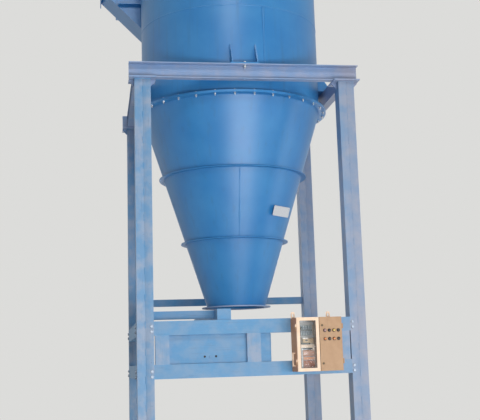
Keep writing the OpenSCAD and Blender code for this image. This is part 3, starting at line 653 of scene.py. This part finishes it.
# The girder's posts and web plates, and the bearer's foot
girderPlan = {"top": 1.575, "low": 1.320, "edges": (-0.7605, -0.064, 0.061, 0.157), "bearerTop": 1.702}
railTop, railLow = girderPlan["top"], girderPlan["low"]
for x in girderPlan["edges"]:
    beads.append(uprightBead(x, -1.001, railLow + 0.004, railTop - 0.004, 0.006))
for left, right in ((-0.76, -0.064), (0.061, 0.157)):
    for z in (railLow + off, railTop - off):
        beads.append(levelBead(left, -1.002, z, right, -1.002, 0.006))
for x in (-0.885, -0.7605, -0.064, 0.061):
    beads.append(levelBead(x, -1.044, railLow, x, -0.985, 0.005))
for x in (-0.325, -0.200):
    beads.append(levelBead(x, -1.022, girderPlan["bearerTop"], x, -0.982, 0.007))
beads.append(levelBead(-0.325, -1.026, girderPlan["bearerTop"], -0.200, -1.026, 0.007))
newPiece("frame_welds", beads, brushedLevel, sharpDegrees=60)
print("welds laid")

# The blank plate on the cone's middle course
tagPlan = {"azimuth": -46.5, "height": 2.781, "width": 0.262, "depth": 0.100, "off": 0.020, "thick": 0.002,
           "cut": 0.008, "border": 0.010, "legs": (-0.085, 0.085), "rivets": (-0.034, 0.034)}


def tagPlate():
    turn = math.radians(tagPlan["azimuth"])
    outward = Vector((math.cos(turn), math.sin(turn), -coneSlope)).normalized()
    across = Vector((-math.sin(turn), math.cos(turn), 0))
    upward = outward.cross(across)
    middle = aroundAxis(coneRadius(tagPlan["height"]), turn, tagPlan["height"])
    seat = Matrix((-across, outward, upward)).transposed().to_4x4()
    place = Matrix.Translation(middle) @ seat
    halfW, halfH, cut, border = tagPlan["width"] / 2, tagPlan["depth"] / 2, tagPlan["cut"], tagPlan["border"]
    outline = [(-halfW + cut, -halfH), (halfW - cut, -halfH), (halfW, -halfH + cut), (halfW, halfH - cut),
               (halfW - cut, halfH), (-halfW + cut, halfH), (-halfW, halfH - cut), (-halfW, -halfH + cut)]
    sheet = cutPlate(outline, tagPlan["thick"], 0.0004)
    rim = frameStrip((-halfW + border, -halfH + border), (halfW - border, halfH - border), 0.002, 0.0008)
    face = place @ Matrix.Translation((0, tagPlan["off"], 0))
    newPiece("blank_plate", [(sheet, face), (rim, face @ Matrix.Translation((0, 0.0018, 0)))], satinAluminium)
    # Two legs reach back to the cone, and four rivets hold the sheet
    legs, rivets = [], []
    leg = roundedBlock((0.024, 0.032, 0.004), 0.001, 1)
    dome = turned([(0, 0.0022), (0.0022, 0.0018), (0.0038, 0.0006), (0.004, 0), (0, 0)], 12)
    for x in tagPlan["legs"]:
        legs.append((leg, place @ Matrix.Translation((x, tagPlan["off"] - 0.016, 0))))
        for z in tagPlan["rivets"]:
            spot = place @ Matrix.Translation((x * 1.3, tagPlan["off"] + tagPlan["thick"], z))
            rivets.append((dome, spot @ Matrix.Rotation(-math.pi / 2, 4, "X")))
    newPiece("plate_legs", legs, vesselEnamel)
    newPiece("plate_rivets", rivets, brightZinc)


tagPlate()

# Plugs in the web plate's two spare holes, and a painted bolt head between them
webPlan = {"face": -1.0, "holes": (-0.443, -0.341), "holeHeight": 1.380, "bolt": -0.392, "boltHeight": 1.376}
plug = turned([(0, -0.0012), (0.0085, -0.0012), (0.0098, 0.0), (0.0098, 0.0045), (0.0085, 0.006), (0, 0.006)], 24)
plugs = [(plug, facing(onAxis(x, webPlan["face"] - 0.0002, webPlan["holeHeight"]), (0, 1, 0)))
         for x in webPlan["holes"]]
newPiece("hole_plugs", plugs, neoprene)
paintedHead = []
for data, proud in ((hexBlock(0.019, 0, 0.008, 0.0012), 0.0005), (washerShape(0.0085, 0.0135, 0, 0.0016), 0)):
    spot = onAxis(webPlan["bolt"], webPlan["face"] - proud, webPlan["boltHeight"])
    paintedHead.append((data, facing(spot, forward)))
newPiece("painted_bolt", paintedHead, brushedLevel)

# The control panel: its place from the vessel axis, and its doors
panel = {"x": 0.340, "front": -1.295, "z": 1.223, "width": 0.410, "height": 0.470, "doorLeft": 0.341,
         "doorRight": 0.5475, "doorWidth": 0.2015, "frame": 0.029, "plateFace": -1.068}


def inPanel(x, y, z):
    return onAxis(panel["x"] + x, y, panel["z"] + z)


# Push buttons: bezel, cap, collar behind the sheet, and the contact block
buttonPlan = {"inset": 0.046, "pitch": 0.041, "drop": 0.118, "rowPitch": 0.074, "upper": "pbyb", "lower": "abab"}
bezelShape = turned([(0.0105, -0.0115), (0.0110, -0.0115), (0.0110, 0.0), (0.0150, 0.0), (0.0150, 0.0022),
                     (0.0138, 0.0058), (0.0126, 0.0068), (0.0112, 0.0064), (0.0105, 0.0052), (0.0105, -0.0115)], 32)
capShape = turned([(0, -0.004), (0.0104, -0.004), (0.0104, 0.0160), (0.0097, 0.0178), (0.0070, 0.0190),
                   (0, 0.0194)], 32)
collarShape = washerShape(0.0111, 0.0138, -0.0060, -0.0022, 12)
blockShape = roundedBlock((0.024, 0.036, 0.036), 0.0015)
capKinds = {"p": ("caps_pink", pinkCap), "y": ("cap_yellow", yellowCap), "a": ("caps_amber", amberLens),
            "b": ("caps_black", blackAbs)}
bezels, collars, caps = [], [], {}
for row, kinds in enumerate((buttonPlan["upper"], buttonPlan["lower"])):
    for column, kind in enumerate(kinds):
        x = panel["doorRight"] + buttonPlan["inset"] + column * buttonPlan["pitch"]
        z = panel["z"] + panel["height"] - buttonPlan["drop"] - row * buttonPlan["rowPitch"]
        place = facing(onAxis(x, panel["front"], z), forward)
        bezels.append((bezelShape, place))
        collars.append((collarShape, place))
        bezels.append((blockShape, place @ Matrix.Translation((0, 0, -0.031))))
        caps.setdefault(kind, []).append((capShape, place))
bezelPiece = newPiece("button_bezels", bezels, blackAbs, "door_right")
newPiece("button_collars", collars, brightZinc, "door_right")
for kind, parts in caps.items():
    name, finish = capKinds[kind]
    newPiece(name, parts, finish, "door_right")
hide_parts("push_buttons")

# Quarter-turn locks with a recessed hexagon key, and their tongues behind the sheet
lockPlan = {"in": 0.0235, "heights": (0.397, 0.065), "tongue": -0.0145}
lockShape = turned([(0, 0), (0.0100, 0.0), (0.0100, 0.0024), (0.0088, 0.0036), (0.0070, 0.0036), (0.0062, 0.0014),
                    (0, 0.0014)], 24)
lockKey = hexBlock(0.006, 0.0012, 0.0034, 0.0006)
barrelShape = turned([(0, -0.016), (0.0070, -0.016), (0.0070, -0.001), (0, -0.001)], 20)
tongueShape = roundedBlock((0.034, 0.012, 0.0025), 0.001, 1)
locks = []
for z in lockPlan["heights"]:
    place = facing(onAxis(panel["doorRight"] + lockPlan["in"], panel["front"], panel["z"] + z), forward)
    tongue = Matrix.Translation((0, 0, lockPlan["tongue"])) @ Matrix.Rotation(math.pi / 2, 4, "Z")
    locks += [(lockShape, place), (lockKey, place), (barrelShape, place), (tongueShape, place @ tongue)]
newPiece("door_locks", locks, blackenedZinc, "door_right")

# Rubber bead round the window, and foam seals on the case's rim
sealPlan = {"lefts": (0.002, 0.206), "low": (0.001, 0.003), "high": (0.201, 0.467), "width": 0.008, "thick": 0.0035,
            "face": -1.2736}
windowLow = (panel["doorLeft"] + panel["frame"], panel["z"] + panel["frame"])
windowHigh = (panel["doorLeft"] + panel["doorWidth"] - panel["frame"], panel["z"] + panel["height"] - panel["frame"])
seal = frameStrip(windowLow, windowHigh, 0.0030, 0.0024)
newPiece("window_seal", [(seal, Matrix.Translation(onAxis(0, panel["front"] - 0.0003, 0)))], neoprene,
         "door_left")
foam = []
for left in sealPlan["lefts"]:
    corners = [(panel["x"] + left + x, panel["z"] + z) for x, z in (sealPlan["low"], sealPlan["high"])]
    strip = frameStrip(*corners, sealPlan["width"], sealPlan["thick"])
    foam.append((strip, Matrix.Translation(onAxis(0, sealPlan["face"], 0))))
newPiece("rim_seals", foam, neoprene)

# Screws of the hinge leaves, on the sides of the case
screwPlan = {"sides": ((-1, -0.003), (1, 0.413)), "leaves": (0.060, 0.366), "up": 0.011, "rows": (-1.252, -1.262)}
screwShape = turned([(0, -0.0004), (0.0032, -0.0004), (0.0032, 0.0010), (0.0022, 0.0018), (0.0009, 0.0018),
                     (0.0009, 0.0008), (0, 0.0008)], 14)
screws = []
for side, x in screwPlan["sides"]:
    for z in screwPlan["leaves"]:
        for y in screwPlan["rows"]:
            screws.append((screwShape, facing(inPanel(x, y, z + screwPlan["up"]), (side, 0, 0))))
newPiece("hinge_screws", screws, brightZinc)

earPlan = {"half": 0.018, "top": 0.060, "cut": 0.012, "shoulder": 0.030, "hole": 0.006, "thick": 0.004,
           "places": (0.018, 0.344)}


def earShape():
    # A hanging ear with a slot, rounded above
    mesh = bmesh.new()
    half, top, cut = earPlan["half"], earPlan["top"], earPlan["cut"]
    outline = [(-half, 0), (half, 0), (half, earPlan["shoulder"]), (half, top - cut)]
    arc = [math.radians(a) for a in (22.5, 45, 67.5, 90)]
    outline += [(half - cut + cut * math.cos(a), top - cut + cut * math.sin(a)) for a in arc]
    outline += [(-x, z) for x, z in reversed(outline[2:])]
    outer = [mesh.verts.new((x, 0, z)) for x, z in outline]
    ring = [mesh.edges.new(pair) for pair in zip(outer, outer[1:] + outer[:1])]
    slot, radius = [], earPlan["hole"]
    for middle, span in ((0.036, (0, 180)), (0.020, (180, 360))):
        for step in range(7):
            a = math.radians(span[0] + (span[1] - span[0]) * step / 6)
            slot.append(mesh.verts.new((radius * math.cos(a), 0, middle + radius * math.sin(a))))
    hole = [mesh.edges.new(pair) for pair in zip(slot, slot[1:] + slot[:1])]
    bmesh.ops.triangle_fill(mesh, edges=ring + hole, use_beauty=True)
    thicken(mesh, earPlan["thick"])
    return asData(mesh)


ear = earShape()
earWeld = roundedBlock((0.034, 0.004, 0.004), 0.0015)
ears = []
for x in earPlan["places"]:
    ears.append((ear, Matrix.Translation(inPanel(x, -1.064, panel["height"]))))
    ears.append((earWeld, Matrix.Translation(inPanel(x, -1.065, panel["height"] + 0.0005))))
earPiece = newPiece("case_ears", ears, doorPowderCoat)

gripPlan = {"y": -1.195, "size": (0.014, 0.012, 0.122), "off": 0.021, "middle": 0.106, "posts": (0.051, 0.161)}
gripBar = roundedBlock(gripPlan["size"], 0.0025, 3)
post = turned([(0, 0), (0.0062, 0), (0.0062, 0.002), (0.005, 0.004), (0.005, 0.020), (0, 0.020)], 20)
grip = [(gripBar, Matrix.Translation(inPanel(-gripPlan["off"], gripPlan["y"], gripPlan["middle"])))]
for z in gripPlan["posts"]:
    grip.append((post, facing(inPanel(0, gripPlan["y"], z), (-1, 0, 0))))
newPiece("side_grip", grip, doorPowderCoat)

glandPlace = facing(inPanel(panel["width"], -1.140, 0.040), (1, 0, 0))
glandRing = washerShape(0.0120, 0.0140, 0.010, 0.018, 28)
glandDome = turned([(0, 0.019), (0.0140, 0.019), (0.0155, 0.026), (0.0150, 0.0295), (0.0125, 0.0320),
                    (0.0095, 0.0320), (0.0085, 0.0300), (0.0085, 0.020), (0, 0.020)], 28)
glandParts = (hexBlock(0.0305, 0, 0.010, 0.0012), glandRing, hexBlock(0.0290, 0.018, 0.027, 0.0012), glandDome)
newPiece("cable_gland", [(data, glandPlace) for data in glandParts], greyPvc)
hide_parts("panel_fittings")

# Switchgear behind the glass: heights above the case's underside, places across from "left" on
gearPlan = {"left": 0.047, "breakers": 0.318, "breakerCount": 6, "breakerPitch": 0.0225, "contactor": 0.238,
            "lid": 0.208, "pink": 0.130, "orange": 0.030, "terminalCount": 9, "terminalPitch": 0.0115,
            "terminalLeft": 0.045}


def onPlate(x, z, depth=0.0):
    # Depth is measured forward of the mounting plate
    return inPanel(gearPlan["left"] + x, panel["plateFace"] - depth, z)


# Side outlines as (depth, height) points
breakerSide = [(0.002, 0.000), (0.048, 0.000), (0.048, 0.020), (0.061, 0.020), (0.061, 0.066), (0.048, 0.066),
               (0.048, 0.086), (0.002, 0.086)]
leverSide = [(0.058, 0.036), (0.072, 0.040), (0.072, 0.049), (0.058, 0.052)]
contactorSide = [(0.0, 0.0), (0.055, 0.0), (0.055, 0.010), (0.080, 0.014), (0.080, 0.046), (0.055, 0.050),
                 (0.055, 0.058), (0.0, 0.058)]
relaySide = [(0.0, 0.0), (0.046, 0.0), (0.060, 0.008), (0.060, 0.044), (0.046, 0.050), (0.0, 0.050)]
quarter = Matrix.Rotation(-math.pi / 2, 4, "Z")


def sideCut(outline, width, corner):
    # Swings a cut plate so that its outline lies in depth and height and its thickness across
    data = cutPlate(outline, width, corner)
    data.transform(quarter)
    return data


def screwHead(radius, x, z, depth):
    head = turned([(0, -0.0006), (radius, -0.0006), (radius, 0.0008), (0.0012, 0.0008), (0.0010, 0), (0, 0)], 12)
    return head, facing(onPlate(x, z, depth), forward)


def hung(shape, x, z, depth=0.0):
    return shape, Matrix.Translation(onPlate(x, z, depth))


heads, levers, windows, housings = [], [], [], []
housing = sideCut(breakerSide, 0.0190, 0.0010)
lever = sideCut(leverSide, 0.0085, 0.0012)
window = roundedBlock((0.010, 0.0012, 0.004), 0.0004, 1)
for index in range(gearPlan["breakerCount"]):
    x, z = index * gearPlan["breakerPitch"], gearPlan["breakers"]
    housings.append(hung(housing, x, z))
    levers.append(hung(lever, x + 0.0052, z))
    windows.append(hung(window, x + 0.0095, z + 0.060, 0.061))
    for level in (0.010, 0.076):
        heads.append(screwHead(0.0032, x + 0.0095, z + level, 0.048))
gearPiece = newPiece("breaker_housings", housings, breakerPolyamide)
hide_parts("panel_switchgear")

# A turning knob in front of the first two breakers
knobShape = turned([(0, 0), (0.0150, 0), (0.0150, 0.004), (0.0135, 0.0075), (0.0128, 0.0130), (0.0110, 0.0140),
                    (0, 0.0140)], 28)
levers.append((knobShape, facing(onPlate(0.0200, 0.382, 0.058), forward)))
levers.append(hung(roundedBlock((0.0060, 0.0060, 0.0240), 0.0012, 1), 0.0200, 0.382, 0.0735))

# Contactor and relay, with dark covers over their lower terminals
contactorZ = gearPlan["contactor"]
newPiece("contactor", [hung(sideCut(contactorSide, 0.064, 0.0016), 0.037, contactorZ),
                       hung(sideCut(relaySide, 0.030, 0.0014), 0.106, contactorZ + 0.004)],
         contactorMelamine)
levers.append(hung(roundedBlock((0.022, 0.003, 0.012), 0.001, 1), 0.070, contactorZ + 0.034, 0.080))
levers.append(hung(roundedBlock((0.084, 0.012, 0.015), 0.0015), 0.066, contactorZ + 0.005, 0.058))
for x in (0.045, 0.056, 0.067, 0.078, 0.089):
    heads.append(screwHead(0.0034, x, contactorZ + 0.054, 0.055))

# Terminals: slim blocks with a stepped crown and two screws each
terminalSide = {"pink": [(0.0, 0.0), (0.034, 0.0), (0.050, 0.012), (0.050, 0.046), (0.034, 0.058), (0.0, 0.058)],
                "orange": [(0.0, 0.0), (0.032, 0.0), (0.040, 0.010), (0.052, 0.018), (0.052, 0.048), (0.040, 0.056),
                           (0.032, 0.066), (0.0, 0.066)]}
for kind, finish in (("pink", terminalPolyamide), ("orange", orangePolyamide)):
    slim = sideCut(terminalSide[kind], 0.0098, 0.0008)
    row = []
    for index in range(gearPlan["terminalCount"]):
        x, z = gearPlan["terminalLeft"] + index * gearPlan["terminalPitch"], gearPlan[kind]
        row.append(hung(slim, x, z))
        for level in (0.022, 0.040):
            heads.append(screwHead(0.0026, x + 0.0049, z + level, 0.050))
    newPiece("terminals_" + kind, row, finish)
# A bridge bar joins the orange row, and a black strip above the pink one is painted shadow under the lid
bridge = roundedBlock((0.104, 0.010, 0.026), 0.0020)
strip = roundedBlock((0.092, 0.006, 0.010), 0.0012)
newPiece("bridge_bar", [hung(bridge, 0.097, 0.1125, 0.042)], apricotPolyamide)
# The black strip stands for the shadow under the trunking lid: painted shadow
levers.append(hung(strip, 0.087, 0.1985, 0.052))
newPiece("breaker_levers", levers, blackAbs)
newPiece("terminal_screws", heads, brightZinc)
newPiece("breaker_windows", windows, greyPvc)

# Top-hat rails behind each row
hatSide = [(0.0, 0.0), (0.0010, 0.0), (0.0010, 0.004), (0.0065, 0.004), (0.0065, 0.0), (0.0075, 0.0),
           (0.0075, 0.005), (0.0020, 0.005), (0.0020, 0.030), (0.0075, 0.030), (0.0075, 0.035), (0.0065, 0.035),
           (0.0065, 0.031), (0.0, 0.031)]
hatShape = sideCut(hatSide, 0.150, 0)
rails = [hung(hatShape, -0.004, z) for z in (0.343, 0.250, 0.144, 0.046)]
newPiece("hat_rails", rails, brightZinc)

fingerPitch = 0.008


def trunking(x, z, width, height, depth, upright=False):
    # A lid on two rows of fingers, across the plate or upright beside the terminals
    parts = [hung(roundedBlock((width, 0.0016, height), 0.0006, 1), x + width / 2, z + height / 2, depth)]
    start, length, edge, reach = (z, height, x, width) if upright else (x, width, z, height)
    finger = roundedBlock((0.0014, depth, 0.0052) if upright else (0.0052, depth, 0.0014), 0.0004, 1)
    for index in range(int(length / fingerPitch)):
        along = start + 0.004 + index * fingerPitch
        for level in (edge + 0.001, edge + reach - 0.001):
            spot = (level, along) if upright else (along, level)
            parts.append(hung(finger, *spot, depth / 2))
    return parts


ducts = (trunking(-0.004, 0.298, 0.150, 0.017, 0.040) + trunking(-0.004, 0.410, 0.150, 0.026, 0.045)
         + trunking(0.012, 0.028, 0.028, 0.166, 0.045, upright=True))
newPiece("wire_trunking", ducts, greyPvc)
tabSide = [(0.0, 0.0), (0.046, 0.0), (0.058, 0.008), (0.058, 0.052), (0.050, 0.060), (0.0, 0.060)]
lid = trunking(0.014, gearPlan["lid"], 0.114, 0.030, 0.056) + [hung(sideCut(tabSide, 0.0185, 0.0016), 0.1285, 0.177)]
newPiece("trunking_lid", lid, creamPvc)
print("control panel fitted")

# A pale stage, so that the object stands out
stagePlan = {"floorSize": 160.0, "floorHex": "#d9d8d4", "backdropHex": "#dcdcda", "fadeFrom": 2.2, "fadeTo": 5.8}


def seenRay(tree):
    # 1 for what the camera sees, in a mirror too
    ray = addNode(tree, "ShaderNodeLightPath").outputs
    seen = addNode(tree, "ShaderNodeMath", {"operation": "MAXIMUM"},
                   {0: ray["Is Camera Ray"], 1: ray["Is Glossy Ray"]})
    return ray, seen.outputs[0]


def paleFloor():
    mesh = bmesh.new()
    bmesh.ops.create_grid(mesh, x_segments=4, y_segments=4, size=stagePlan["floorSize"] / 2)
    data = bpy.data.meshes.new("paleFloor")
    mesh.to_mesh(data)
    mesh.free()
    data.transform(Matrix.Translation((0, 0, -0.001)))
    floor = bpy.data.objects.new("paleFloor", data)
    scene.collection.objects.link(floor)
    material, tree, place = newMaterial("paleConcrete")
    # Trowelled concrete near the object, which fades into the backdrop for the camera and for reflections
    colour = blendColours(tree, noise(tree, place, 0.625, 5.0), "#cfcec9", stagePlan["floorHex"])
    matt = addNode(tree, "ShaderNodeBsdfDiffuse", {}, {"Color": colour})
    glow = addNode(tree, "ShaderNodeEmission", {"Color": paintColour(stagePlan["backdropHex"]), "Strength": 1.0})
    reach = addNode(tree, "ShaderNodeVectorMath", {"operation": "LENGTH"}, {0: place})
    fade = addNode(tree, "ShaderNodeMapRange",
                   {"From Min": stagePlan["fadeFrom"], "From Max": stagePlan["fadeTo"],
                    "interpolation_type": "SMOOTHSTEP"}, {"Value": reach.outputs["Value"]})
    share = addNode(tree, "ShaderNodeMath", {"operation": "MULTIPLY"}, {0: fade.outputs[0], 1: seenRay(tree)[1]})
    both = addNode(tree, "ShaderNodeMixShader", {},
                   {0: share.outputs[0], 1: matt.outputs[0], 2: glow.outputs[0]})
    addNode(tree, "ShaderNodeOutputMaterial", {}, {"Surface": both.outputs[0]})
    data.materials.append(material)


def paleWorld():
    world = bpy.data.worlds.new("paleWorld")
    scene.world = world
    world.use_nodes = True
    tree = world.node_tree
    tree.nodes.clear()
    ray, first = seenRay(tree)
    seen = addNode(tree, "ShaderNodeMath", {"operation": "MAXIMUM"}, {0: first, 1: ray["Is Transmission Ray"]})
    ambient = addNode(tree, "ShaderNodeBackground", {"Color": (1, 1, 1, 1), "Strength": 0.2})
    backdrop = addNode(tree, "ShaderNodeBackground",
                       {"Color": paintColour(stagePlan["backdropHex"]), "Strength": 1.0})
    both = addNode(tree, "ShaderNodeMixShader", {},
                   {0: seen.outputs[0], 1: ambient.outputs[0], 2: backdrop.outputs[0]})
    addNode(tree, "ShaderNodeOutputWorld", {}, {"Surface": both.outputs[0]})


# The key lamp stands low in front, so the cone's wall, which leans back below, gives one soft highlight
lampPlan = {
    "keyLamp": {"place": (1.1, -7.1, 0.95), "aim": (0.3, 0, 2.9), "size": 4.8, "tall": 1.2, "watts": 255},
    "crownLamp": {"place": (-0.6, -7.8, 8.6), "aim": (0.1, 0, 4.8), "size": 2.0, "watts": 190},
    "rightLamp": {"place": (8.5, -3.2, 2.2), "size": 5.0, "watts": 150},
    "leftLamp": {"place": (-10.0, 2.5, 5.0), "size": 5.0, "watts": 40},
    "topLamp": {"place": (0.0, 1.0, 13.0), "size": 6.0, "watts": 560},
    "backLamp": {"place": (2.0, 10.0, 5.0), "size": 5.0, "watts": 380},
}
middleAim = (0.1, 0, 3.0)


def hangLamps():
    for name, plan in lampPlan.items():
        data = bpy.data.lights.new(name, "AREA")
        data.shape = "RECTANGLE"
        data.size = plan["size"]
        data.size_y = plan.get("tall", plan["size"])
        data.energy = plan["watts"]
        lamp = bpy.data.objects.new(name, data)
        scene.collection.objects.link(lamp)
        lamp.visible_camera = False
        lamp.location = plan["place"]
        away = Vector(plan["place"]) - Vector(plan.get("aim", middleAim))
        lamp.rotation_euler = away.to_track_quat("Z", "Y").to_euler()


# Fitted to the photograph's edges; angles in degrees, the shift is the crop's
cameraPlan = {"place": (-1.4156, -9.6665, 1.3131), "pixels": 961.83, "yaw": 9.367, "pitch": 10.352,
              "roll": -1.818, "shift": (-0.0208, -0.0479), "imageWidth": 480}


def setCamera():
    yaw, pitch, roll = (math.radians(cameraPlan[k]) for k in ("yaw", "pitch", "roll"))
    ahead = Vector((math.sin(yaw) * math.cos(pitch), math.cos(yaw) * math.cos(pitch), math.sin(pitch)))
    level = Vector((math.cos(yaw), -math.sin(yaw), 0))
    rise = level.cross(ahead)
    side = level * math.cos(roll) + rise * math.sin(roll)
    top = rise * math.cos(roll) - level * math.sin(roll)
    data = bpy.data.cameras.new("photoCamera")
    data.sensor_width = 36.0
    data.lens = cameraPlan["pixels"] * data.sensor_width / cameraPlan["imageWidth"]
    data.shift_x, data.shift_y = cameraPlan["shift"]
    data.clip_end = 400
    camera = bpy.data.objects.new("photoCamera", data)
    scene.collection.objects.link(camera)
    turn = Matrix((side, top, -ahead)).transposed().to_4x4()
    camera.matrix_world = Matrix.Translation(Vector(cameraPlan["place"]) + Vector((axisX, axisY, 0))) @ turn
    scene.camera = camera


scene.view_settings.view_transform = "Standard"
paleFloor()
paleWorld()
hangLamps()
setCamera()
print("stage, lamps and camera set")
